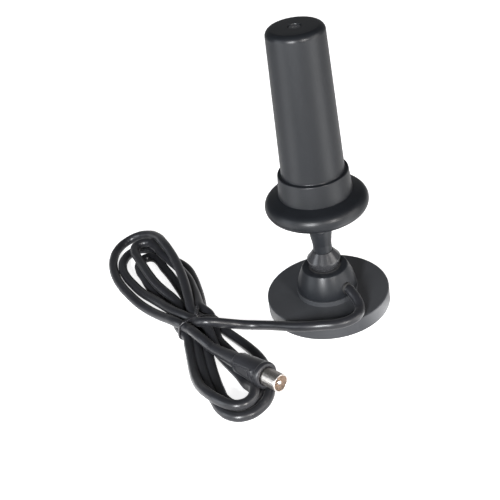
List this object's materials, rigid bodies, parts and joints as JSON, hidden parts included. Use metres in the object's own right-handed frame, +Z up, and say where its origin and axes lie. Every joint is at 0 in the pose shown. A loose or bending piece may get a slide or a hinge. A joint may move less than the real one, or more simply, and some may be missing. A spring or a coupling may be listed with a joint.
{
  "type": "amplified stick antenna",
  "caption": "Stick antenna with a tapered cover, a round flange and a ball joint on a weighted magnetic disc base, with its coaxial lead bundled in a tie and ending in a push-on plug.",
  "frame": {"origin": "centre of the base's underside, on the surface that it stands on", "axes": "+Z up along the stem and the cover, +X to the viewer's right, -Y towards the viewer"},
  "size_m": [0.17, 0.1815, 0.1664],
  "materials": {
    "black_plastic": "satin, fine moulded texture",
    "grey_plastic": "satin",
    "gloss_plastic": "gloss",
    "radome_plastic": "satin",
    "seat_nylon": "matt nylon",
    "joint_metal": "satin black lacquer",
    "zinc_steel": "zinc plated",
    "dark_screw": "black oxide",
    "spring_steel": "satin",
    "weight_steel": "ground steel",
    "ferrite": "matt ferrite",
    "rubber": "matt",
    "cable_jacket": "satin PVC",
    "tie_plastic": "gloss",
    "nickel": "worn nickel plate",
    "insulator": "tan, satin",
    "board": "solder mask",
    "copper": "tinned copper foil",
    "tin": "tin plate",
    "chip": "epoxy"
  },
  "bodies": {
    "base": {"base_housing": "black_plastic", "bottom_plate": "zinc_steel", "foot_pad": "rubber", "ring_magnet": "ferrite", "weight_plate": "weight_steel", "base_screws": "zinc_steel", "pedestal": "grey_plastic", "pedestal_screws": "zinc_steel", "cable_gland": "rubber", "crimp_ring": "tin", "inner_lead": "cable_jacket", "cord_lead": "cable_jacket", "cord_hank_upper": "cable_jacket", "cord_hank_waist": "cable_jacket", "cord_hank_lower": "cable_jacket", "cord_tail": "cable_jacket", "cord_tie": "tie_plastic", "plug_body": "rubber", "plug_relief": "rubber", "plug_sleeve": "nickel", "plug_insulator": "insulator", "plug_pin": "nickel"},
    "swivel": {"ball_seat": "seat_nylon", "draw_stud": "zinc_steel", "stop_washer": "zinc_steel", "disc_springs": "spring_steel", "draw_nut": "zinc_steel"},
    "head": {"ball_shell": "joint_metal", "stem_bell": "grey_plastic", "head_ring": "black_plastic", "collar": "grey_plastic", "radome": "radome_plastic", "radome_seal": "rubber", "top_plug": "gloss_plastic", "head_screws": "dark_screw", "amplifier_board": "board", "board_screws": "zinc_steel", "shield_can": "tin", "amplifier_parts": "chip", "antenna_board": "board", "upper_radiator": "copper", "lower_radiator": "copper", "balun_core": "ferrite", "head_lead": "cable_jacket", "lead_ferrule": "tin"}
  },
  "joints": [
    {"name": "head_turn", "type": "hinge", "parent": "base", "child": "swivel", "pos_m": [0, 0, 0.031], "axis": [0, 0, 1], "range_deg": [-155, 155]},
    {"name": "head_lean", "type": "hinge", "parent": "swivel", "child": "head", "pos_m": [0, 0, 0.031], "axis": [1, 0, 0], "range_deg": [-25, 25]}
  ]
}
